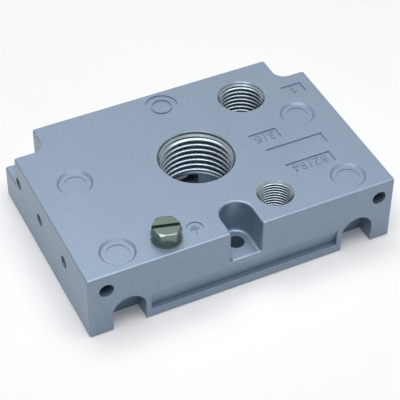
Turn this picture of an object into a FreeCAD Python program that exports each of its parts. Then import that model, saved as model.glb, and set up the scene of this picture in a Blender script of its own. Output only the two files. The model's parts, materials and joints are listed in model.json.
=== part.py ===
import FreeCAD, Part
from collections import namedtuple
import math
import os

# Valve end plate: a die-cast plate that closes the end of a row of valves. Its outer face holds
# three threaded ports, three clamp bolts seat at half height, and an earth screw stands on two
# washers. Frame: millimetres, +Z up out of the outer face, origin at the middle of the joint face
# below. +X runs along the long sides, and +Y towards the side with the two notched corners.
V = FreeCAD.Vector
UP = V(0, 0, 1)

# Casting outline
LENGTH = 88.0
WIDTH = 59.8
HEIGHT = 20.3
CORNER_RADIUS = 0.6
TOP_ROUND = 0.55
JOINT_EDGE_CHAMFER = 0.3    # where the joint face is machined flat
CENTRE_X = 0.35             # ports, bolts and arches share a centre line just off the middle

# Clamp bolts: each seats on a floor at half height, in a front pocket or a rear corner notch
BOLT_HOLE_RADIUS = 2.25
BOLT_FLOOR_Z = 10.0
FLOOR_ROUND = 0.9           # between a bolt's floor and the walls round it
POCKET_RADIUS = 4.5
POCKET_BOLT_INSET = 6.2     # from the front face
NOTCH_WIDTH = 8.35          # in from the end face, on the centre line
NOTCH_DEPTH = 9.0           # in from the rear face
NOTCH_INNER_RADIUS = 3.3
NOTCH_BOLT_INSET = 4.2      # from both walls
WALL_EDGE_ROUND = 0.7       # upright edges where a pocket or notch meets the outer faces

# Threaded ports, parallel pipe threads: each bore is cut at its thread's major radius
PORT_CHAMFER = 0.15
EXHAUST_X = 0.1             # from the centre line
EXHAUST_Y = 0.65            # from the plate's middle
EXHAUST_THREAD_RADIUS = 10.48
EXHAUST_THREAD_DEPTH = 14.6
EXHAUST_BORE_RADIUS = 9.3
SUPPLY_X = 22.35
SUPPLY_INSET = 11.9         # from the rear face
SUPPLY_THREAD_RADIUS = 6.58
SUPPLY_THREAD_DEPTH = 12.2
SUPPLY_BORE_RADIUS = 5.6
PILOT_X = 12.6
PILOT_INSET = 8.85          # from the front face
PILOT_THREAD_RADIUS = 4.86
PILOT_THREAD_DEPTH = 9.2
PILOT_BORE_RADIUS = 3.2

# Passages from the ports to the joint face. The exhaust bore ends on a thin floor, and its
# passage runs back under a low roof before it opens downwards.
PASSAGE_CORNER = 2.5
EXHAUST_FLOOR_Z = 1.2
EXHAUST_ROOF_Z = 5.4
EXHAUST_SIDE = 4.6          # from the bore's axis to the passage's right wall
EXHAUST_PASSAGE_WIDTH = 17.7
EXHAUST_MOUTH_START = 12.4  # behind the bore's axis, where the thin floor ends
EXHAUST_MOUTH_LENGTH = 9.2
SUPPLY_ROOF_Z = 6.0
SUPPLY_MOUTH_WIDTH = 12.0
SUPPLY_MOUTH_LENGTH = 12.5
SUPPLY_MOUTH_SHIFT = -1.8   # of the mouth's middle from the port's axis, along X
GASKET_GAP = 1.2            # from a passage's mouth to its gasket groove
GASKET_WIDTH = 1.4
GASKET_DEPTH = 0.9

# Shallow arched openings in the front face, open at the joint face too
ARCH_INSET = 10.8           # from the end face to the arch's middle, on the centre line
ARCH_RADIUS = 4.65
ARCH_TOP_Z = 10.15
ARCH_DEPTH = 5.6            # in from the front face

# Sloping groove along the foot of the front face, between the arches
GROOVE_ARCH_GAP = 1.4
GROOVE_LIP_Z = 2.95
GROOVE_TOP_Z = 8.4
GROOVE_DEPTH = 1.5

# Blind fixing holes, cored with flat ends, in the front face and in the left end face
FRONT_HOLE_INSET = 4.75     # from the end face, on the centre line
FRONT_HOLE_Z = 15.2
FRONT_HOLE_RADIUS = 2.0
FRONT_HOLE_DEPTH = 10.0
END_HOLE_INSET = 11.2       # from the rear face to the first hole
END_HOLE_STEPS = (0.0, 15.5, 32.5)
END_HOLE_Z = 12.8
END_HOLE_RADIUS = 1.8
END_HOLE_DEPTH = 7.0

# Round blanks where other plates of this casting have a port
BLANK_INSET = 10.84         # from the end face, on the centre line
BLANK_FRONT_INSET = 6.76    # from the front face to the first row
BLANK_ROW_PITCH = 28.07
BLANK_RADIUS = 4.85
BLANK_DEPTH = 0.6
BLANK_WALL_SLOPE = 0.65     # how far the wall runs in on its way down
BLANK_INNER_RADIUS = 3.05
BLANK_INNER_DEPTH = 0.18

# Round sunk place near the rear edge with one plain raised ring in it
BADGE_INSET = 6.05
BADGE_X = 0.5
BADGE_RADIUS = 4.65
BADGE_DEPTH = 0.35
BADGE_RING_RADIUS = 3.0
BADGE_RING_WIDTH = 0.35

# Sunk label fields: one near the right end, three in a block between the ports
LABEL_HEIGHT = 4.0
LABEL_DEPTH = 0.35
END_LABEL_INSET = 3.4       # from the end face
END_LABEL_WIDTH = 6.2
END_LABEL_Y = 14.7
BLOCK_LABEL_LEFTS = (16.4, 18.15, 20.05)
BLOCK_LABEL_WIDTHS = (8.25, 16.85, 13.25)
BLOCK_LABEL_YS = (0.1, -6.95, -14.5)

# Round sunk field beside the earth screw, for the earth sign
SIGN_X = -12.05
SIGN_INSET = 6.0            # from the front face
SIGN_RADIUS = 2.35
SIGN_DEPTH = 0.3

# Earth screw, M4, with a slotted hexagon head, a spring lock washer and a plain washer
SCREW_X = -20.05
SCREW_INSET = 5.95          # from the front face
SCREW_TURN = -15.0          # degrees from +X to the slot
SCREW_RADIUS = 2.0
SCREW_LENGTH = 8.0          # of shank, from under the head
SCREW_END_CHAMFER = 0.5
HEAD_ACROSS_FLATS = 7.0
HEAD_HEIGHT = 2.7
HEAD_TOP_RADIUS = 3.35
HEAD_CHAMFER_ANGLE = 30.0
SLOT_WIDTH = 1.1
SLOT_DEPTH = 1.1
LOCK_WASHER_RADIUS = 3.8
LOCK_WASHER_THICKNESS = 0.9
LOCK_WASHER_GAP = 0.9
LOCK_WASHER_GAP_TURN = 40.0  # degrees on from the slot
LOCK_WASHER_GAP_LEAN = 25.0
WASHER_RADIUS = 4.1
WASHER_THICKNESS = 0.7
WASHER_CLEARANCE = 0.15
TAPPED_CLEARANCE = 0.04
TAPPED_SPARE = 1.5          # depth of the tapped hole past the screw's end

# Places worked out from the sizes above
RIGHT, REAR = LENGTH / 2, WIDTH / 2
FRONT = -REAR
SCREW_AT = (CENTRE_X + SCREW_X, FRONT + SCREW_INSET)
SEAT_Z = HEIGHT + WASHER_THICKNESS + LOCK_WASHER_THICKNESS
PAST = 5.0                  # how far an open cut runs past the face that it opens in

Port = namedtuple("Port", "x y thread_radius thread_depth bore_radius floor_z")
EXHAUST = Port(CENTRE_X + EXHAUST_X, EXHAUST_Y, EXHAUST_THREAD_RADIUS,
               EXHAUST_THREAD_DEPTH, EXHAUST_BORE_RADIUS, EXHAUST_FLOOR_Z)
SUPPLY = Port(CENTRE_X + SUPPLY_X, REAR - SUPPLY_INSET, SUPPLY_THREAD_RADIUS,
              SUPPLY_THREAD_DEPTH, SUPPLY_BORE_RADIUS, SUPPLY_ROOF_Z / 2)
PILOT = Port(CENTRE_X + PILOT_X, FRONT + PILOT_INSET, PILOT_THREAD_RADIUS,
             PILOT_THREAD_DEPTH, PILOT_BORE_RADIUS, 0.0)


def mirrored(inset):
    """Two places along X, one at each side of the centre line, set in from the end faces."""
    return (CENTRE_X - (RIGHT - inset), CENTRE_X + (RIGHT - inset))


def cylinder(radius, height, x, y, z, direction=UP):
    return Part.makeCylinder(radius, height, V(x, y, z), direction)


def rounded_slab(x0, x1, y0, y1, z0, z1, radius):
    """A box with its four upright edges rounded."""
    box = Part.makeBox(x1 - x0, y1 - y0, z1 - z0, V(x0, y0, z0))
    upright = [edge for edge in box.Edges if edge.BoundBox.ZLength > (z1 - z0) / 2]
    return box.makeFillet(radius, upright)


def edges_at_height(shape, z):
    """The edges of a shape that lie wholly at one height."""
    found = []
    for edge in shape.Edges:
        box = edge.BoundBox
        if abs(box.ZMin - z) < 1e-6 and abs(box.ZMax - z) < 1e-6:
            found.append(edge)
    return found


def upright_edges_at(shape, x, y):
    """The straight upright edges of a shape that stand at one place."""
    found = []
    for edge in shape.Edges:
        box = edge.BoundBox
        if box.ZLength > 1.0 and abs(box.Center.x - x) < 0.01 and abs(box.Center.y - y) < 0.01:
            found.append(edge)
    return found


def bolt_pocket():
    """The U-shaped pocket in the front face, with its floor edge rounded."""
    middle_y = FRONT + POCKET_BOLT_INSET
    height = HEIGHT - BOLT_FLOOR_Z + PAST
    slot = Part.makeBox(
        2 * POCKET_RADIUS, POCKET_BOLT_INSET + PAST, height,
        V(CENTRE_X - POCKET_RADIUS, FRONT - PAST, BOLT_FLOOR_Z))
    pocket = slot.fuse(cylinder(POCKET_RADIUS, height, CENTRE_X, middle_y, BOLT_FLOOR_Z))
    pocket = pocket.removeSplitter()
    floor_edges = [e for e in edges_at_height(pocket, BOLT_FLOOR_Z) if e.BoundBox.YMax > FRONT]
    return pocket.makeFillet(FLOOR_ROUND, floor_edges)


def corner_notch(side):
    """The cut-away rear corner on one side, -1 left or 1 right, open to the end and the rear."""
    wall_x = mirrored(NOTCH_WIDTH)[0 if side < 0 else 1]
    wall_y = REAR - NOTCH_DEPTH
    outer_x = side * (RIGHT + PAST)
    outer_y = REAR + PAST
    notch = Part.makeBox(
        abs(outer_x - wall_x), outer_y - wall_y, HEIGHT - BOLT_FLOOR_Z + PAST,
        V(min(wall_x, outer_x), wall_y, BOLT_FLOOR_Z))
    notch = notch.makeFillet(NOTCH_INNER_RADIUS, upright_edges_at(notch, wall_x, wall_y))
    walls = []
    for edge in edges_at_height(notch, BOLT_FLOOR_Z):
        middle = edge.BoundBox.Center
        if abs(middle.x - outer_x) > 0.01 and abs(middle.y - outer_y) > 0.01:
            walls.append(edge)
    return notch.makeFillet(FLOOR_ROUND, walls)


def shaped_plate():
    """The block with its pocket and notches, and then its outer edges rounded."""
    block = rounded_slab(-RIGHT, RIGHT, FRONT, REAR, 0, HEIGHT, CORNER_RADIUS)
    plate = block.cut([bolt_pocket(), corner_notch(-1), corner_notch(1)])
    wall_edges = []
    for wall_x, end_x in zip(mirrored(NOTCH_WIDTH), (-RIGHT, RIGHT)):
        wall_edges += upright_edges_at(plate, wall_x, REAR)
        wall_edges += upright_edges_at(plate, end_x, REAR - NOTCH_DEPTH)
    for pocket_side in (-POCKET_RADIUS, POCKET_RADIUS):
        wall_edges += upright_edges_at(plate, CENTRE_X + pocket_side, FRONT)
    plate = plate.makeFillet(WALL_EDGE_ROUND, wall_edges)
    plate = plate.makeFillet(TOP_ROUND, edges_at_height(plate, HEIGHT))
    return plate.makeChamfer(JOINT_EDGE_CHAMFER, edges_at_height(plate, 0))


def bolt_holes():
    """Through holes for the clamp bolts: the front pocket's, then the two notches'."""
    notch_y = REAR - NOTCH_DEPTH + NOTCH_BOLT_INSET
    places = [(CENTRE_X, FRONT + POCKET_BOLT_INSET)]
    places += [(x, notch_y) for x in mirrored(NOTCH_WIDTH - NOTCH_BOLT_INSET)]
    return [cylinder(BOLT_HOLE_RADIUS, BOLT_FLOOR_Z + 1, x, y, -0.5) for x, y in places]


def port_cut(port):
    """A threaded port: its mouth, the bore at the thread's major radius, and the bore below."""
    thread = cylinder(port.thread_radius, port.thread_depth, port.x, port.y, HEIGHT - port.thread_depth)
    mouth = Part.makeCone(
        port.thread_radius, port.thread_radius + PORT_CHAMFER, PORT_CHAMFER,
        V(port.x, port.y, HEIGHT - PORT_CHAMFER))
    bore = cylinder(port.bore_radius, HEIGHT - port.floor_z, port.x, port.y, port.floor_z)
    return thread.fuse([mouth, bore])


def exhaust_passage():
    """The low passage behind the exhaust bore, down to its mouth in the joint face."""
    x1 = EXHAUST.x + EXHAUST_SIDE
    x0 = x1 - EXHAUST_PASSAGE_WIDTH
    y0 = EXHAUST.y + EXHAUST_MOUTH_START
    y1 = y0 + EXHAUST_MOUTH_LENGTH
    passage = Part.makeBox(
        x1 - x0, (y0 + y1) / 2 - EXHAUST.y, EXHAUST_ROOF_Z - EXHAUST_FLOOR_Z,
        V(x0, EXHAUST.y, EXHAUST_FLOOR_Z))
    mouth = rounded_slab(x0, x1, y0, y1, 0, EXHAUST_ROOF_Z, PASSAGE_CORNER)
    return [passage, mouth, gasket_groove(x0, x1, y0, y1, PASSAGE_CORNER)]


def supply_passage():
    """The supply port's mouth in the joint face, a pocket wider than the bore above it."""
    middle_x = SUPPLY.x + SUPPLY_MOUTH_SHIFT
    x0, x1 = middle_x - SUPPLY_MOUTH_WIDTH / 2, middle_x + SUPPLY_MOUTH_WIDTH / 2
    y0, y1 = SUPPLY.y - SUPPLY_MOUTH_LENGTH / 2, SUPPLY.y + SUPPLY_MOUTH_LENGTH / 2
    mouth = rounded_slab(x0, x1, y0, y1, 0, SUPPLY_ROOF_Z, PASSAGE_CORNER)
    return [mouth, gasket_groove(x0, x1, y0, y1, PASSAGE_CORNER)]


def gasket_groove(x0, x1, y0, y1, corner):
    """A ring groove in the joint face round a mouth with rounded corners."""
    gap, out = GASKET_GAP, GASKET_GAP + GASKET_WIDTH
    outer = rounded_slab(x0 - out, x1 + out, y0 - out, y1 + out, 0, GASKET_DEPTH, corner + out)
    return outer.cut(rounded_slab(x0 - gap, x1 + gap, y0 - gap, y1 + gap, 0, GASKET_DEPTH, corner + gap))


def pilot_groove():
    """The ring groove round the pilot bore's mouth in the joint face."""
    inner = PILOT_BORE_RADIUS + GASKET_GAP
    ring = cylinder(inner + GASKET_WIDTH, GASKET_DEPTH, PILOT.x, PILOT.y, 0)
    return ring.cut(cylinder(inner, GASKET_DEPTH, PILOT.x, PILOT.y, 0))


def arch_opening(x):
    """An opening with a half-round roof, open at the front face and at the joint face."""
    spring_z = ARCH_TOP_Z - ARCH_RADIUS
    foot_left, spring_left = V(x - ARCH_RADIUS, FRONT, 0), V(x - ARCH_RADIUS, FRONT, spring_z)
    foot_right, spring_right = V(x + ARCH_RADIUS, FRONT, 0), V(x + ARCH_RADIUS, FRONT, spring_z)
    outline = Part.Wire([
        Part.LineSegment(foot_left, spring_left).toShape(),
        Part.Arc(spring_left, V(x, FRONT, ARCH_TOP_Z), spring_right).toShape(),
        Part.LineSegment(spring_right, foot_right).toShape(),
        Part.LineSegment(foot_right, foot_left).toShape(),
    ])
    return Part.Face(outline).extrude(V(0, ARCH_DEPTH, 0))


def foot_groove():
    """The groove between the arches: its back slopes in from the top down to the lip."""
    arch_left, arch_right = mirrored(ARCH_INSET)
    x0 = arch_left + ARCH_RADIUS + GROOVE_ARCH_GAP
    x1 = arch_right - ARCH_RADIUS - GROOVE_ARCH_GAP
    section = [
        V(x0, FRONT, GROOVE_TOP_Z),
        V(x0, FRONT + GROOVE_DEPTH, GROOVE_LIP_Z),
        V(x0, FRONT - PAST, GROOVE_LIP_Z),
        V(x0, FRONT - PAST, GROOVE_TOP_Z),
    ]
    return Part.Face(Part.makePolygon(section + section[:1])).extrude(V(x1 - x0, 0, 0))


def fixing_holes():
    """Two blind holes in the front face and a row of smaller ones in the left end face."""
    holes = []
    for x in mirrored(FRONT_HOLE_INSET):
        holes.append(cylinder(FRONT_HOLE_RADIUS, FRONT_HOLE_DEPTH, x, FRONT, FRONT_HOLE_Z, V(0, 1, 0)))
    for step in END_HOLE_STEPS:
        y = REAR - END_HOLE_INSET - step
        holes.append(cylinder(END_HOLE_RADIUS, END_HOLE_DEPTH, -RIGHT, y, END_HOLE_Z, V(1, 0, 0)))
    return holes


def blank_recesses():
    """Four round blanks: a shallow recess with a sloping wall each, and a slightly deeper middle."""
    recesses = []
    inner_depth = BLANK_DEPTH + BLANK_INNER_DEPTH
    for x in mirrored(BLANK_INSET):
        for row in range(2):
            y = FRONT + BLANK_FRONT_INSET + row * BLANK_ROW_PITCH
            recesses.append(Part.makeCone(
                BLANK_RADIUS - BLANK_WALL_SLOPE, BLANK_RADIUS, BLANK_DEPTH, V(x, y, HEIGHT - BLANK_DEPTH)))
            recesses.append(cylinder(BLANK_INNER_RADIUS, inner_depth, x, y, HEIGHT - inner_depth))
    return recesses


def badge_recess():
    """The bare round place near the rear edge, with one raised ring left standing in it."""
    x, y, z = CENTRE_X + BADGE_X, REAR - BADGE_INSET, HEIGHT - BADGE_DEPTH
    ring = cylinder(BADGE_RING_RADIUS, BADGE_DEPTH, x, y, z)
    ring = ring.cut(cylinder(BADGE_RING_RADIUS - BADGE_RING_WIDTH, BADGE_DEPTH, x, y, z))
    return cylinder(BADGE_RADIUS, BADGE_DEPTH, x, y, z).cut(ring)


def label_field(x0, middle_y, width):
    corner = V(x0, middle_y - LABEL_HEIGHT / 2, HEIGHT - LABEL_DEPTH)
    return Part.makeBox(width, LABEL_HEIGHT, LABEL_DEPTH, corner)


def label_fields():
    fields = [label_field(RIGHT - END_LABEL_INSET - END_LABEL_WIDTH, END_LABEL_Y, END_LABEL_WIDTH)]
    for left, middle_y, width in zip(BLOCK_LABEL_LEFTS, BLOCK_LABEL_YS, BLOCK_LABEL_WIDTHS):
        fields.append(label_field(CENTRE_X + left, middle_y, width))
    return fields


def tapped_hole():
    """The earth screw's blind hole, cut at the thread's major radius."""
    bottom_z = SEAT_Z - SCREW_LENGTH - TAPPED_SPARE
    return cylinder(SCREW_RADIUS + TAPPED_CLEARANCE, HEIGHT - bottom_z, *SCREW_AT, bottom_z)


def end_plate():
    cuts = bolt_holes() + exhaust_passage() + supply_passage() + fixing_holes()
    cuts += [port_cut(port) for port in (EXHAUST, SUPPLY, PILOT)]
    cuts += [arch_opening(x) for x in mirrored(ARCH_INSET)]
    cuts += [pilot_groove(), foot_groove(), badge_recess(), tapped_hole()]
    cuts += [cylinder(SIGN_RADIUS, SIGN_DEPTH, CENTRE_X + SIGN_X, FRONT + SIGN_INSET, HEIGHT - SIGN_DEPTH)]
    cuts += blank_recesses() + label_fields()
    return shaped_plate().cut(cuts)


def washer_ring(radius, thickness, z):
    ring = cylinder(radius, thickness, *SCREW_AT, z)
    return ring.cut(cylinder(SCREW_RADIUS + WASHER_CLEARANCE, thickness, *SCREW_AT, z))


def earth_lock_washer():
    """A split spring washer pressed flat, its gap cut askew."""
    z = HEIGHT + WASHER_THICKNESS
    reach = 2 * LOCK_WASHER_RADIUS
    tall = 4 * LOCK_WASHER_THICKNESS
    gap = Part.makeBox(reach, LOCK_WASHER_GAP, tall, V(0, -LOCK_WASHER_GAP / 2, -tall / 2))
    gap.rotate(V(0, 0, 0), V(1, 0, 0), LOCK_WASHER_GAP_LEAN)
    gap.rotate(V(0, 0, 0), UP, SCREW_TURN + LOCK_WASHER_GAP_TURN)
    gap.translate(V(*SCREW_AT, z + LOCK_WASHER_THICKNESS / 2))
    return washer_ring(LOCK_WASHER_RADIUS, LOCK_WASHER_THICKNESS, z).cut(gap)


def screw_head():
    """The hexagon with its corners turned off by a cone, and the driver slot across it."""
    corner_radius = HEAD_ACROSS_FLATS / 2 / math.cos(math.pi / 6)
    corners = []
    for step in range(7):
        angle = math.radians(SCREW_TURN + 60 * step)
        corners.append(V(corner_radius * math.cos(angle), corner_radius * math.sin(angle), 0))
    prism = Part.Face(Part.makePolygon(corners)).extrude(V(0, 0, HEAD_HEIGHT))
    spread = HEAD_HEIGHT / math.tan(math.radians(HEAD_CHAMFER_ANGLE))
    cone = Part.makeCone(HEAD_TOP_RADIUS + spread, HEAD_TOP_RADIUS, HEAD_HEIGHT)
    slot = Part.makeBox(
        3 * corner_radius, SLOT_WIDTH, SLOT_DEPTH,
        V(-1.5 * corner_radius, -SLOT_WIDTH / 2, HEAD_HEIGHT - SLOT_DEPTH))
    slot.rotate(V(0, 0, 0), UP, SCREW_TURN)
    return prism.common(cone).cut(slot)


def earth_screw():
    straight = SCREW_LENGTH - SCREW_END_CHAMFER
    shank = Part.makeCylinder(SCREW_RADIUS, straight, V(0, 0, -straight))
    end = Part.makeCone(
        SCREW_RADIUS - SCREW_END_CHAMFER, SCREW_RADIUS, SCREW_END_CHAMFER, V(0, 0, -SCREW_LENGTH))
    screw = screw_head().fuse([shank, end])
    screw.translate(V(*SCREW_AT, SEAT_Z))
    return screw


def export(name, shape):
    if not shape.isValid() or len(shape.Solids) != 1:
        raise ValueError(name + " is not one valid solid")
    shape.Solids[0].exportStep("parts/" + name + ".step")
    print(name, "volume", round(shape.Volume, 2), "mm3")


os.makedirs("parts", exist_ok=True)
export("end_plate", end_plate())
export("earth_washer", washer_ring(WASHER_RADIUS, WASHER_THICKNESS, HEIGHT))
export("earth_lock_washer", earth_lock_washer())
export("earth_screw", earth_screw())
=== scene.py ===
import bpy
import json
import math
import numpy as np
from bpy.props import FloatProperty, FloatVectorProperty, PointerProperty
from mathutils import Matrix, Vector


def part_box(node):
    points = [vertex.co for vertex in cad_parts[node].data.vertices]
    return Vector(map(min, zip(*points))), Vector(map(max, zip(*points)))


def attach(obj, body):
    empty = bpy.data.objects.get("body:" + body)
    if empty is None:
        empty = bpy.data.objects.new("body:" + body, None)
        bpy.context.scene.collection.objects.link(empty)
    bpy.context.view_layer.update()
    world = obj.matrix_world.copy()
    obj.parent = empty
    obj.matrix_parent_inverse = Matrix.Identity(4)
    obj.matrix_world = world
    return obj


bl_info = {
    "name": "Valve end plate",
    "version": (1, 0, 0),
    "blender": (4, 5, 0),
    "location": "3D View > Sidebar > End plate",
    "description": "Finishes, port threads and raised marks of a die-cast valve end plate, and its studio",
    "category": "Object",
}

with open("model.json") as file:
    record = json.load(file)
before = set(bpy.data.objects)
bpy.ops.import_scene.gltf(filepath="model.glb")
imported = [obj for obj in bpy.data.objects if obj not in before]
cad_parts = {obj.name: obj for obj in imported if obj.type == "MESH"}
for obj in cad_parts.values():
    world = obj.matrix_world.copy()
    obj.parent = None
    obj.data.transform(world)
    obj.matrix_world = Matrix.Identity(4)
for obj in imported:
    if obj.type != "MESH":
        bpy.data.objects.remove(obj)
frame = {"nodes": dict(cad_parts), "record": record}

MM = 0.001
NODES = frame["nodes"]
MOUNTS = {mount["name"]: mount for mount in frame["record"]["mounts"]}
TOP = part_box("end_plate")[1].z / MM
BODY = "root"


def linear(hex_colour):
    """Linear red, green and blue of an sRGB hex colour: the inverse of the sRGB curve, channel by channel."""
    channels = [int(hex_colour[i:i + 2], 16) / 255 for i in (0, 2, 4)]
    return tuple(c / 12.92 if c <= 0.04045 else ((c + 0.055) / 1.055) ** 2.4 for c in channels)


def length(name, description, millimetres):
    return FloatProperty(
        name=name, description=description, default=millimetres * MM, unit="LENGTH", precision=5)


def degrees(name, description, value):
    return FloatProperty(
        name=name, description=description, default=math.radians(value), subtype="ANGLE")


def colour(name, description, hex_colour):
    return FloatVectorProperty(
        name=name, description=description, default=linear(hex_colour), subtype="COLOR", min=0, max=1)


def number(name, description, value):
    return FloatProperty(name=name, description=description, default=value)


class EndPlateFinishes(bpy.types.PropertyGroup):
    """Colours and textures of the coat, the bare metal and the plating."""
    coat: colour("Coat", "Blue-grey coat on the casting", "8394A8")
    coat_light: colour("Coat, lighter", "The same coat where it lies thinner", "8C9CAF")
    coat_metallic: number("Coat, metallic", "Share of the coat's look that is metal", 0.55)
    # A real casting's grain is finer. It is drawn as coarse as it needs to be to show.
    coat_grain: length("Coat grain", "Size of the cast texture under the coat", 0.45)
    coat_relief: number("Coat relief", "Strength of the cast texture's bumps", 0.8)
    bare_metal: colour("Bare aluminium", "Turned and tapped aluminium", "96A2AC")
    bare_roughness: number("Bare roughness", "Roughness of turned and tapped aluminium", 0.25)
    plating: colour("Plating", "Zinc plating on steel", "7F8C86")
    plating_dull: colour("Plating, dull", "The same plating where it has dulled", "66736E")


class EndPlateThreads(bpy.types.PropertyGroup):
    """Sizes of the three ports' pipe threads."""
    exhaust_pitch: length("Exhaust pitch", "Crest to crest in the large port, 14 to the inch", 1.814)
    supply_pitch: length("Supply pitch", "Crest to crest in the middle port, 19 to the inch", 1.337)
    pilot_pitch: length("Pilot pitch", "Crest to crest in the small port, 28 to the inch", 0.907)
    top_gap: length("Chamfer", "Height of the casting's own chamfer above the sleeve", 0.15)
    bevel: length("Bevel", "How far the rim's bevel runs on below the casting's own chamfer", 0.14)
    exhaust_step: length("Exhaust step", "Upright wall between the large port's bevel and lead-in", 0.62)
    exhaust_lead: length("Exhaust lead-in", "Width and depth of the large port's 45 degree lead-in", 0.59)
    supply_step: length("Supply step", "Upright wall between the middle port's bevel and lead-in", 0.28)
    supply_lead: length("Supply lead-in", "Width and depth of the middle port's 45 degree lead-in", 0.47)
    pilot_step: length("Pilot step", "Upright wall between the small port's bevel and lead-in", 0.0)
    pilot_lead: length("Pilot lead-in", "Width and depth of the small port's 45 degree lead-in", 0.28)
    seat: length("Seat", "How far the thread's sleeve is let into the wall", 0.02)


class EndPlateMarks(bpy.types.PropertyGroup):
    """Sizes of the raised numerals and of the earth sign."""
    numeral_height: length("Numeral height", "Height of the numerals", 2.5)
    numeral_stroke: length("Numeral stroke", "Width of the numerals' strokes", 0.42)
    numeral_rise: length("Numeral rise", "How far the numerals stand up from their field", 0.22)
    field_depth: length("Field depth", "Depth of the label fields", 0.35)
    sign_stroke: length("Sign stroke", "Width of the earth sign's bars", 0.34)
    sign_rise: length("Sign rise", "How far the earth sign stands up from its field", 0.2)
    sign_depth: length("Sign depth", "Depth of the earth sign's field", 0.3)


class EndPlateStudio(bpy.types.PropertyGroup):
    """Camera, lamps and floor."""
    azimuth: degrees("Azimuth", "Compass angle that the camera looks along, from +Y towards +X", 26.064)
    elevation: degrees("Elevation", "How far the camera looks down", 43.349)
    roll: degrees("Roll", "Turn of the camera about its own axis", 0.467)
    distance: length("Distance", "From the camera to the point it looks at", 414.975)
    floor_colour: colour("Floor", "Matt white floor", "F7F7F7")
    floor_lift: number("Floor lift", "White added to the floor for the camera", 0.09)
    ambient: number("Ambient", "Level of the even light from all sides", 0.0)
    lamp_distance: length("Lamp distance", "From each softbox to the plate's middle", 900.0)
    lamp_size: length("Lamp size", "Width and height of each softbox", 420.0)
    overhead_size: length("Overhead size", "Width and height of the softbox straight above", 900.0)
    overhead: number("Overhead", "Level of the softbox straight above", 2.12)
    back: number("Back", "Level of the high softbox behind", 2.0)
    front: number("Front", "Level of the high softbox in front", 1.3)
    left: number("Left", "Level of the high softbox at the left", 2.0)
    rear_left: number("Rear left", "Level of the high softbox behind, at the left", 0.8)
    right: number("Right", "Level of the high softbox at the right", 1.1)
    low_right: number("Low right", "Level of the low softbox in front, at the right", 0.9)


def settings():
    return bpy.context.scene.end_plate_settings


class EndPlateSettings(bpy.types.PropertyGroup):
    """All the settings of the end plate."""
    finishes: PointerProperty(type=EndPlateFinishes)
    threads: PointerProperty(type=EndPlateThreads)
    marks: PointerProperty(type=EndPlateMarks)
    studio: PointerProperty(type=EndPlateStudio)


# Materials


def add_node(tree, kind, values=None, links=None, **attributes):
    """Adds a node. values sets its sockets by name or number, links joins its sockets to other outputs."""
    node = tree.nodes.new(kind)
    for attribute, value in attributes.items():
        setattr(node, attribute, value)
    for socket, value in (values or {}).items():
        node.inputs[socket].default_value = value
    for socket, output in (links or {}).items():
        tree.links.new(output, node.inputs[socket])
    return node


def new_material(name):
    """An empty node material with its output node, its tree and its Object coordinates."""
    material = bpy.data.materials.new(name)
    material.use_nodes = True
    tree = material.node_tree
    tree.nodes.clear()
    place = add_node(tree, "ShaderNodeTexCoord").outputs["Object"]
    return material, tree, place


def finish_material(tree, shader):
    add_node(tree, "ShaderNodeOutputMaterial", links={"Surface": shader})


def noise(tree, place, size_mm, detail=2.0, roughness=0.5):
    """Noise whose patches are about size_mm across."""
    return add_node(
        tree, "ShaderNodeTexNoise", {"Scale": 1 / (size_mm * MM), "Detail": detail, "Roughness": roughness},
        {"Vector": place}).outputs["Fac"]


def two_colours(tree, first, second, factor):
    """A colour that runs from the first to the second as the factor goes from 0 to 1."""
    mix = add_node(tree, "ShaderNodeMix", links={"Factor": factor}, data_type="RGBA")
    for socket, value in (("A", first), ("B", second)):
        next(s for s in mix.inputs if s.name == socket and s.type == "RGBA").default_value = (*value, 1)
    return next(s for s in mix.outputs if s.type == "RGBA")


def bare_bore_mask(tree, place):
    """1 in the turned part of each port bore and on its rim, 0 elsewhere: inside a port's circle and above its
    floor."""
    mask = None
    for name in ("exhaust_port", "supply_port", "pilot_exhaust_port"):
        mount = MOUNTS[name]
        x, y = mount["pos_m"][:2]
        reach = mount["dims"]["r_mm"] * MM + settings().threads.top_gap
        centred = add_node(
            tree, "ShaderNodeMapping", {"Location": (-x, -y, 0), "Scale": (1, 1, 0)}, {"Vector": place})
        distance = add_node(tree, "ShaderNodeVectorMath", links={0: centred.outputs[0]}, operation="LENGTH")
        inside = add_node(
            tree, "ShaderNodeMath", {1: reach + 0.02 * MM}, {0: distance.outputs["Value"]},
            operation="LESS_THAN").outputs[0]
        if mask is None:
            mask = inside
        else:
            mask = add_node(tree, "ShaderNodeMath", links={0: mask, 1: inside}, operation="MAXIMUM").outputs[0]
    height = add_node(tree, "ShaderNodeSeparateXYZ", links={0: place}).outputs["Z"]
    ragged = noise(tree, place, 1.5)
    edge = add_node(
        tree, "ShaderNodeMath", {1: 1.2 * MM, 2: 2.6 * MM}, {0: ragged}, operation="MULTIPLY_ADD").outputs[0]
    above = add_node(tree, "ShaderNodeMath", links={0: height, 1: edge}, operation="GREATER_THAN").outputs[0]
    return add_node(tree, "ShaderNodeMath", links={0: mask, 1: above}, operation="MULTIPLY").outputs[0]


def turned_aluminium_shader(tree, place):
    """Aluminium bored and tapped: a bright grey metal with fine rings round the bore."""
    finishes = settings().finishes
    rings = add_node(
        tree, "ShaderNodeMapping", {"Scale": (0.15, 0.15, 1.0)}, {"Vector": place}).outputs[0]
    marks = noise(tree, rings, 0.06, 2.0)
    bump = add_node(
        tree, "ShaderNodeBump", {"Strength": 0.25, "Distance": 0.01 * MM}, {"Height": marks}).outputs[0]
    return add_node(
        tree, "ShaderNodeBsdfPrincipled",
        {"Base Color": (*finishes.bare_metal, 1), "Metallic": 1.0, "Roughness": finishes.bare_roughness},
        {"Normal": bump}).outputs[0]


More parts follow.
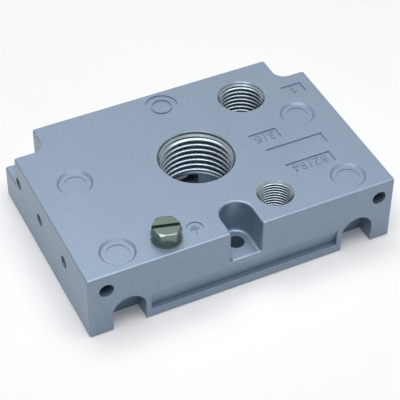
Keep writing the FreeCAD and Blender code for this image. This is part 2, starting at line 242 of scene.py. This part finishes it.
def turned_aluminium():
    """Tapped aluminium: bright crests and dark grooves, with tool marks along the thread."""
    material, tree, place = new_material("tapped_aluminium")
    finish_material(tree, turned_aluminium_shader(tree, place))
    return material


def coated_casting():
    """Die-cast aluminium under a thin satin coat with metal in it: a soft sheen on a fine cast grain, which also
    speckles the colour. Bare in the bores."""
    finishes = settings().finishes
    material, tree, place = new_material("satin_coat_on_die_casting")
    clouds = noise(tree, place, 9.0, 3.0)
    grain = noise(tree, place, finishes.coat_grain / MM, 3.0, 0.6)
    speckle = add_node(
        tree, "ShaderNodeMapRange", {"From Min": 0.3, "From Max": 0.7, "To Min": -0.6, "To Max": 1.1},
        {"Value": grain}).outputs[0]
    speckled = add_node(
        tree, "ShaderNodeMath", {1: 0.5}, {0: clouds, 2: speckle}, operation="MULTIPLY_ADD").outputs[0]
    shade = two_colours(tree, finishes.coat, finishes.coat_light, speckled)
    bump = add_node(
        tree, "ShaderNodeBump", {"Strength": finishes.coat_relief, "Distance": 0.02 * MM},
        {"Height": grain}).outputs[0]
    sheen = add_node(
        tree, "ShaderNodeMapRange", {"To Min": 0.36, "To Max": 0.46}, {"Value": clouds}).outputs[0]
    coat = add_node(
        tree, "ShaderNodeBsdfPrincipled", {"Metallic": finishes.coat_metallic, "IOR": 1.5},
        {"Base Color": shade, "Roughness": sheen, "Normal": bump}).outputs[0]
    bare = turned_aluminium_shader(tree, place)
    mixed = add_node(
        tree, "ShaderNodeMixShader", links={0: bare_bore_mask(tree, place), 1: coat, 2: bare}).outputs[0]
    finish_material(tree, mixed)
    return material


def zinc_plated_steel():
    """Zinc-plated steel, slightly dulled: a grey-green metal with cloudy patches and a fine grain."""
    finishes = settings().finishes
    material, tree, place = new_material("zinc_plated_steel")
    clouds = noise(tree, place, 1.2, 3.0)
    shade = two_colours(tree, finishes.plating, finishes.plating_dull, clouds)
    grain = noise(tree, place, 0.12)
    bump = add_node(
        tree, "ShaderNodeBump", {"Strength": 0.2, "Distance": 0.01 * MM}, {"Height": grain}).outputs[0]
    rough = add_node(tree, "ShaderNodeMapRange", {"To Min": 0.2, "To Max": 0.34}, {"Value": clouds}).outputs[0]
    shader = add_node(
        tree, "ShaderNodeBsdfPrincipled", {"Metallic": 1.0},
        {"Base Color": shade, "Roughness": rough, "Normal": bump}).outputs[0]
    finish_material(tree, shader)
    return material


def give_finish(node_name, material):
    """Puts a material in every slot of a CAD node's object."""
    for slot in NODES[node_name].material_slots:
        slot.material = material


# Surfaces


def grid_faces(rows, columns, wrap_rows):
    """Quads between neighbouring points of a grid whose columns close on themselves, as its rows may."""
    index = np.arange(rows * columns).reshape(rows, columns)
    across = np.roll(index, -1, axis=1)
    if wrap_rows:
        low, high = index, np.roll(index, -1, axis=0)
        low_next, high_next = across, np.roll(across, -1, axis=0)
    else:
        low, high, low_next, high_next = index[:-1], index[1:], across[:-1], across[1:]
    return np.stack([low, low_next, high_next, high], axis=-1).reshape(-1, 4)


def signed_volume(points, quads):
    """The volume inside closed quads, positive where they face outwards: a sum over both triangles of each."""
    a, b, c, d = (points[quads[:, k]] for k in range(4))
    return (np.einsum("ij,ij->", a, np.cross(b, c)) + np.einsum("ij,ij->", a, np.cross(c, d))) / 6


def surface_piece(name, grids, material, sharp=35.0):
    """Makes one piece from grids, each (points in mm, rows wrap). Open rows end in flat caps. Faces face outwards."""
    vertices, faces, start = [], [], 0
    for grid, wrap_rows in grids:
        rows, columns = grid.shape[:2]
        points = grid.reshape(-1, 3)
        quads = grid_faces(rows, columns, wrap_rows)
        caps = [] if wrap_rows else [list(range(columns)), list(range((rows - 1) * columns, rows * columns))[::-1]]
        if signed_volume(points - points.mean(axis=0), quads) < 0:
            quads = quads[:, ::-1]
            caps = [cap[::-1] for cap in caps]
        vertices.append(points)
        faces += (quads + start).tolist() + [[i + start for i in cap[::-1]] for cap in caps]
        start += len(points)
    mesh = bpy.data.meshes.new(name)
    mesh.from_pydata(np.concatenate(vertices) * MM, [], faces)
    mesh.polygons.foreach_set("use_smooth", np.ones(len(faces), bool))
    mesh.set_sharp_from_angle(angle=math.radians(sharp))
    mesh.update()
    mesh.materials.append(material)
    piece = bpy.data.objects.new(name, mesh)
    bpy.context.scene.collection.objects.link(piece)
    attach(piece, BODY)
    return piece


# Threads

WHITWORTH_FLANK = math.radians(27.5)
WHITWORTH_ROUND = 0.137329      # radius of crest and root, in pitches
WHITWORTH_DEPTH = 0.640327      # crest to root, in pitches


def whitworth_depth(turns, pitch):
    """Depth below the crest at a place counted in turns: an arc at the crest, a straight flank, an arc at the root."""
    radius = WHITWORTH_ROUND * pitch
    reach = radius * math.cos(WHITWORTH_FLANK)
    drop = radius * (1 - math.sin(WHITWORTH_FLANK))
    full = WHITWORTH_DEPTH * pitch
    from_crest = np.abs((turns + 0.5) % 1.0 - 0.5) * pitch
    from_root = pitch / 2 - from_crest
    crest = radius - np.sqrt(np.maximum(radius ** 2 - from_crest ** 2, 0))
    root = full - radius + np.sqrt(np.maximum(radius ** 2 - from_root ** 2, 0))
    flank = drop + (from_crest - reach) / math.tan(WHITWORTH_FLANK)
    return np.where(from_crest < reach, crest, np.where(from_root < reach, root, flank))


def smooth_step(value, start, end):
    """0 before start, 1 after end, and a smooth cubic between."""
    t = np.clip((value - start) / (end - start), 0, 1)
    return t * t * (3 - 2 * t)


# Depth of the first crest on the rear wall and of the last full groove, in millimetres under the top face
FIRST_CREST = {"exhaust_port": 2.66, "supply_port": 1.99, "pilot_exhaust_port": 1.12}
LAST_GROOVE = {"exhaust_port": 13.2, "supply_port": 10.9, "pilot_exhaust_port": 8.4}
COLUMNS = 144
ROWS_PER_PITCH = 20


def thread_sleeve(mount_name, pitch, step, lead):
    """A port's thread as a closed sleeve. Its inner wall is a height field over angle and depth. The rim comes first:
    a 45 degree bevel, an upright step and a 45 degree lead-in. Below it the radius is the crest's plus the groove's
    depth, which follows the depth less one pitch a turn and fades out below the last groove. The outer wall is a
    cylinder let slightly into the casting."""
    threads = settings().threads
    mount = MOUNTS[mount_name]
    x, y = (v / MM for v in mount["pos_m"][:2])
    root_radius = mount["dims"]["r_mm"]
    crest_radius = root_radius - WHITWORTH_DEPTH * pitch
    bottom = (TOP - mount["pos_m"][2] / MM) + mount["dims"]["length_mm"]
    top, bevel = threads.top_gap / MM, threads.bevel / MM
    outer_radius = root_radius + threads.seat / MM
    angle = np.linspace(0, 2 * math.pi, COLUMNS, endpoint=False)[None, :]
    rows = int((bottom - top) / pitch * ROWS_PER_PITCH)
    depth = np.linspace(top, bottom, rows)[:, None]
    turns = (depth - FIRST_CREST[mount_name]) / pitch - (angle / (2 * math.pi) - 0.25)
    fade = 1 - smooth_step(depth, LAST_GROOVE[mount_name], LAST_GROOVE[mount_name] + pitch)
    thread = crest_radius + whitworth_depth(turns, pitch) * fade
    rim_depth = np.cumsum([top, bevel, step, lead])
    rim_radius = root_radius - np.cumsum([0, bevel, 0, lead])
    rim = np.interp(depth, rim_depth, rim_radius)
    inner = np.where(depth < rim_depth[-1], rim, np.minimum(thread, root_radius))
    outer = np.full_like(inner, outer_radius)
    radius = np.concatenate([inner, outer[::-1][::ROWS_PER_PITCH]])
    down = np.concatenate([depth, depth[::-1][::ROWS_PER_PITCH]])
    down[-1] = top
    points = np.stack([
        x + radius * np.cos(angle), y + radius * np.sin(angle), np.broadcast_to(TOP - down, radius.shape)], axis=-1)
    return points


# Raised marks


def line(start, end):
    """A straight stroke as two points."""
    return np.array([start, end], float), False


def arc(x, y, radius, start, end, points=14):
    """A round stroke: points at even angles, in degrees, on a circle. A full turn closes on itself."""
    closed = abs(end - start) == 360
    angle = np.radians(np.linspace(start, end, points, endpoint=not closed))
    return np.stack([x + radius * np.cos(angle), y + radius * np.sin(angle)], axis=-1), closed


# Numerals as strokes in a box 0.6 wide and 1 high
NUMERALS = {
    "1": [line((0.34, 0), (0.34, 1)), line((0.34, 1), (0.08, 0.74))],
    "2": [arc(0.3, 0.71, 0.28, 170, -35), line((0.53, 0.55), (0.03, 0)), line((0.03, 0), (0.6, 0))],
    "3": [arc(0.29, 0.75, 0.25, 155, -90), arc(0.29, 0.26, 0.27, 90, -155)],
    "4": [line((0.44, 0), (0.44, 1)), line((0.44, 1), (0.0, 0.3)), line((0, 0.3), (0.6, 0.3))],
    "5": [line((0.55, 1), (0.1, 1)), line((0.1, 1), (0.06, 0.52)), arc(0.28, 0.3, 0.3, 138, -145)],
    "8": [arc(0.3, 0.76, 0.23, 0, 360, 18), arc(0.3, 0.27, 0.28, 0, 360, 20)],
    "/": [line((0.2, -0.05), (0.4, 1.05))],
}
NUMERAL_ADVANCE = 0.86


def stroke_surface(path, closed, width, rise, base_z):
    """A raised stroke: a profile with sloping sides and a flat top, carried along a path in the plane. Each point of
    the path moves the profile across by the path's normal there, and a sunk foot closes it below."""
    if closed:
        ahead = np.roll(path, -1, axis=0) - np.roll(path, 1, axis=0)
    else:
        ahead = np.gradient(path, axis=0)
        unit = ahead[[0, -1]] / np.linalg.norm(ahead[[0, -1]], axis=1)[:, None]
        tips = path[[0, -1]] + unit * np.array([[-0.5], [0.5]]) * width
        path = np.concatenate([tips[:1], path, tips[1:]])
        ahead = np.concatenate([ahead[:1], ahead, ahead[-1:]])
    ahead = ahead / np.linalg.norm(ahead, axis=1)[:, None]
    normal = np.stack([-ahead[:, 1], ahead[:, 0]], axis=-1)
    across = np.array([0.5, 0.5, 0.4, 0.25, -0.25, -0.4, -0.5, -0.5]) * width
    up = np.array([-0.2, 0.0, 0.75, 1.0, 1.0, 0.75, 0.0, -0.2]) * rise
    half = np.ones(len(path))
    if not closed:
        half[[0, -1]] = 0.55
    flat = path[:, None, :] + normal[:, None, :] * (across[None, :] * half[:, None])[..., None]
    height = np.broadcast_to(base_z + up[None, :], flat.shape[:2])
    return np.concatenate([flat, height[..., None]], axis=-1), closed


def raised_text(text, centre, height, width, rise, base_z):
    """The strokes of a row of numerals, centred and turned half round, to be read from the rear."""
    total = (len(text) - 1) * NUMERAL_ADVANCE + 0.6
    grids = []
    for place, numeral in enumerate(text):
        for path, closed in NUMERALS[numeral]:
            shifted = path + np.array([place * NUMERAL_ADVANCE - total / 2, -0.5])
            turned = np.array(centre) - shifted * height
            grids.append(stroke_surface(turned, closed, width, rise, base_z))
    return grids


# Text and middle of each label field that has numerals, in millimetres
LABELS = {"numeral_right_end": ("1", (37.5, 14.7)), "numerals_upper": ("3/5", (20.9, 0.1)),
          "numerals_lower": ("82/84", (27.0, -14.5))}
SIGN_CENTRE = (-11.7, -23.9)
SIGN_BARS = ((-0.1, 2.3), (0.45, 1.5), (1.0, 0.8))    # place and length of each bar, towards the rear
SIGN_STEM = -1.35                                     # end of the stem, towards the front


class ENDPLATE_OT_finish_casting(bpy.types.Operator):
    """Give the casting its satin coat, and bare metal in its port bores"""
    bl_idname = "endplate.finish_casting"
    bl_label = "Coat the casting"

    def execute(self, context):
        give_finish("end_plate", coated_casting())
        return {"FINISHED"}


class ENDPLATE_OT_plate_fasteners(bpy.types.Operator):
    """Give the earth screw and its two washers their zinc plating"""
    bl_idname = "endplate.plate_fasteners"
    bl_label = "Plate the screw and washers"

    def execute(self, context):
        plating = zinc_plated_steel()
        for name in ("earth_screw", "earth_lock_washer", "earth_washer"):
            give_finish(name, plating)
        return {"FINISHED"}


class ENDPLATE_OT_cut_threads(bpy.types.Operator):
    """Line each port with its pipe thread"""
    bl_idname = "endplate.cut_threads"
    bl_label = "Cut the port threads"

    def execute(self, context):
        threads = settings().threads
        metal = turned_aluminium()
        ports = {
            "exhaust_port": (threads.exhaust_pitch, threads.exhaust_step, threads.exhaust_lead),
            "supply_port": (threads.supply_pitch, threads.supply_step, threads.supply_lead),
            "pilot_exhaust_port": (threads.pilot_pitch, threads.pilot_step, threads.pilot_lead)}
        for mount_name, sizes in ports.items():
            sleeve = thread_sleeve(mount_name, *(size / MM for size in sizes))
            surface_piece(mount_name + "_thread", [(sleeve, True)], metal)
        return {"FINISHED"}


class ENDPLATE_OT_raise_numerals(bpy.types.Operator):
    """Raise the plain port numerals in the label fields"""
    bl_idname = "endplate.raise_numerals"
    bl_label = "Raise the numerals"

    def execute(self, context):
        marks = settings().marks
        base_z = TOP - marks.field_depth / MM
        height, width, rise = (v / MM for v in (marks.numeral_height, marks.numeral_stroke, marks.numeral_rise))
        coat = NODES["end_plate"].material_slots[0].material
        for name, (text, centre) in LABELS.items():
            grids = raised_text(text, centre, height, width, rise, base_z)
            surface_piece(name, grids, coat)
        return {"FINISHED"}


class ENDPLATE_OT_raise_earth_sign(bpy.types.Operator):
    """Raise the earth sign in its round field beside the screw"""
    bl_idname = "endplate.raise_earth_sign"
    bl_label = "Raise the earth sign"

    def execute(self, context):
        marks = settings().marks
        base_z = TOP - marks.sign_depth / MM
        width, rise = marks.sign_stroke / MM, marks.sign_rise / MM
        x, y = SIGN_CENTRE
        strokes = [line((x - bar / 2, y + up), (x + bar / 2, y + up)) for up, bar in SIGN_BARS]
        strokes.append(line((x, y + SIGN_BARS[0][0]), (x, y + SIGN_STEM)))
        grids = [stroke_surface(path, closed, width, rise, base_z) for path, closed in strokes]
        coat = NODES["end_plate"].material_slots[0].material
        surface_piece("earth_sign", grids, coat)
        return {"FINISHED"}


# Studio

CAMERA_TARGET = (3.417, 4.224, 0.0)    # the point of the floor that the camera looks at, in millimetres
FOCAL_PIXELS = 1485.463                # focal length in pixels of a picture 400 pixels wide
PICTURE = 400
SENSOR = 36.0
FLOOR_HALF = 2500.0
FLOOR_DROP = 0.02
ZENITH, HIGH, LOW = 89.9, 65, 14       # elevations of the softboxes, in degrees


def direction(azimuth, elevation):
    """The unit vector at a compass angle from +Y towards +X and an angle above the floor, both in radians."""
    flat = math.cos(elevation)
    return Vector((flat * math.sin(azimuth), flat * math.cos(azimuth), math.sin(elevation)))


def place_camera():
    """Looks from the photograph's side: the view's right and up turned about it by the roll."""
    studio = settings().studio
    ahead = direction(studio.azimuth, -studio.elevation)
    level = Vector((math.cos(studio.azimuth), -math.sin(studio.azimuth), 0))
    upright = level.cross(ahead)
    right = math.cos(studio.roll) * level + math.sin(studio.roll) * upright
    up = right.cross(ahead)
    data = bpy.data.cameras.new("camera")
    data.sensor_width = SENSOR
    data.lens = FOCAL_PIXELS * SENSOR / PICTURE
    data.clip_end = 20
    camera = bpy.data.objects.new("camera", data)
    turn = Matrix((right, up, -ahead)).transposed()
    camera.matrix_world = Matrix.LocRotScale(Vector(CAMERA_TARGET) * MM - ahead * studio.distance, turn, None)
    bpy.context.scene.collection.objects.link(camera)
    bpy.context.scene.camera = camera


def lamp(name, azimuth, elevation, distance, width, height, strength):
    """A softbox that faces the plate's middle. Its strength is the brightness of its face."""
    data = bpy.data.lights.new(name, "AREA")
    data.shape = "RECTANGLE"
    data.size = width
    data.size_y = height
    data.energy = strength * width * height * math.pi
    light = bpy.data.objects.new(name, data)
    aim = direction(math.radians(azimuth), math.radians(elevation))
    light.matrix_world = Matrix.LocRotScale(aim * distance, aim.to_track_quat("Z", "Y"), None)
    bpy.context.scene.collection.objects.link(light)


def seen_rays(tree):
    """1 for rays from the camera and for reflected and transmitted rays, 0 for the others."""
    path = add_node(tree, "ShaderNodeLightPath")
    reflected = add_node(
        tree, "ShaderNodeMath", links={0: path.outputs["Is Glossy Ray"], 1: path.outputs["Is Transmission Ray"]},
        operation="MAXIMUM").outputs[0]
    return add_node(
        tree, "ShaderNodeMath", links={0: path.outputs["Is Camera Ray"], 1: reflected},
        operation="MAXIMUM").outputs[0]


def matt_white_floor():
    """Matt white board. The camera sees it lifted to white, with the plate's shadow kept."""
    studio = settings().studio
    material, tree, _ = new_material("matt_white_board")
    board = add_node(tree, "ShaderNodeBsdfDiffuse", {"Color": (*studio.floor_colour, 1)}).outputs[0]
    level = add_node(
        tree, "ShaderNodeMath", {1: studio.floor_lift}, {0: seen_rays(tree)}, operation="MULTIPLY").outputs[0]
    lift = add_node(tree, "ShaderNodeEmission", links={"Strength": level}).outputs[0]
    lifted = add_node(tree, "ShaderNodeAddShader", links={0: board, 1: lift}).outputs[0]
    clear = add_node(tree, "ShaderNodeBsdfTransparent").outputs[0]
    below = add_node(tree, "ShaderNodeNewGeometry").outputs["Backfacing"]
    shader = add_node(tree, "ShaderNodeMixShader", links={0: below, 1: lifted, 2: clear}).outputs[0]
    finish_material(tree, shader)
    return material


def white_world():
    """Even light from all sides, and white where the camera or a reflection sees past the floor."""
    world = bpy.data.worlds.new("studio_world")
    world.use_nodes = True
    tree = world.node_tree
    tree.nodes.clear()
    level = add_node(
        tree, "ShaderNodeMapRange", {"To Min": settings().studio.ambient, "To Max": 1.0},
        {"Value": seen_rays(tree)}).outputs[0]
    background = add_node(tree, "ShaderNodeBackground", links={"Strength": level}).outputs[0]
    add_node(tree, "ShaderNodeOutputWorld", links={"Surface": background})
    bpy.context.scene.world = world


class ENDPLATE_OT_set_stage(bpy.types.Operator):
    """Lay the floor and set the lamps, the world and the camera"""
    bl_idname = "endplate.set_stage"
    bl_label = "Set the stage"

    def execute(self, context):
        studio = settings().studio
        side = np.linspace(-FLOOR_HALF, FLOOR_HALF, 5)
        x, y = np.meshgrid(side, side)
        points = np.stack([x, y, np.full_like(x, -FLOOR_DROP)], axis=-1).reshape(-1, 3) * MM
        index = np.arange(25).reshape(5, 5)
        quads = np.stack([index[:-1, :-1], index[:-1, 1:], index[1:, 1:], index[1:, :-1]], axis=-1)
        mesh = bpy.data.meshes.new("floor")
        mesh.from_pydata(points, [], quads.reshape(-1, 4).tolist())
        mesh.materials.append(matt_white_floor())
        floor = bpy.data.objects.new("floor", mesh)
        bpy.context.scene.collection.objects.link(floor)
        softboxes = (("overhead", 0, ZENITH, studio.overhead), ("back_softbox", 0, HIGH, studio.back),
                     ("front_softbox", 180, HIGH, studio.front), ("left_softbox", 240, HIGH, studio.left),
                     ("rear_left_softbox", 300, HIGH, studio.rear_left),
                     ("right_softbox", 120, HIGH, studio.right), ("low_right_softbox", 135, LOW, studio.low_right))
        for name, azimuth, elevation, level in softboxes:
            size = studio.overhead_size if name == "overhead" else studio.lamp_size
            lamp(name, azimuth, elevation, studio.lamp_distance, size, size, level)
        white_world()
        place_camera()
        view = context.scene.view_settings
        view.view_transform = "Standard"
        return {"FINISHED"}


class ENDPLATE_PT_sidebar(bpy.types.Panel):
    bl_idname = "ENDPLATE_PT_sidebar"
    bl_label = "End plate"
    bl_space_type = "VIEW_3D"
    bl_region_type = "UI"
    bl_category = "End plate"

    def draw(self, context):
        for operator in OPERATORS:
            self.layout.operator(operator.bl_idname)
        for group in (settings().finishes, settings().threads, settings().marks, settings().studio):
            box = self.layout.box()
            for name in group.__annotations__:
                box.prop(group, name)


OPERATORS = (ENDPLATE_OT_finish_casting, ENDPLATE_OT_plate_fasteners, ENDPLATE_OT_cut_threads,
             ENDPLATE_OT_raise_numerals, ENDPLATE_OT_raise_earth_sign, ENDPLATE_OT_set_stage)
CLASSES = (EndPlateFinishes, EndPlateThreads, EndPlateMarks, EndPlateStudio, EndPlateSettings,
           *OPERATORS, ENDPLATE_PT_sidebar)


def register():
    for cls in CLASSES:
        bpy.utils.register_class(cls)
    bpy.types.Scene.end_plate_settings = PointerProperty(type=EndPlateSettings)


def unregister():
    del bpy.types.Scene.end_plate_settings
    for cls in reversed(CLASSES):
        bpy.utils.unregister_class(cls)


def main():
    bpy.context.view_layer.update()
    register()
    bpy.ops.endplate.finish_casting()
    bpy.ops.endplate.plate_fasteners()
    bpy.ops.endplate.cut_threads()
    bpy.ops.endplate.raise_numerals()
    bpy.ops.endplate.raise_earth_sign()
    bpy.ops.endplate.set_stage()


if __name__ == "__main__":
    main()
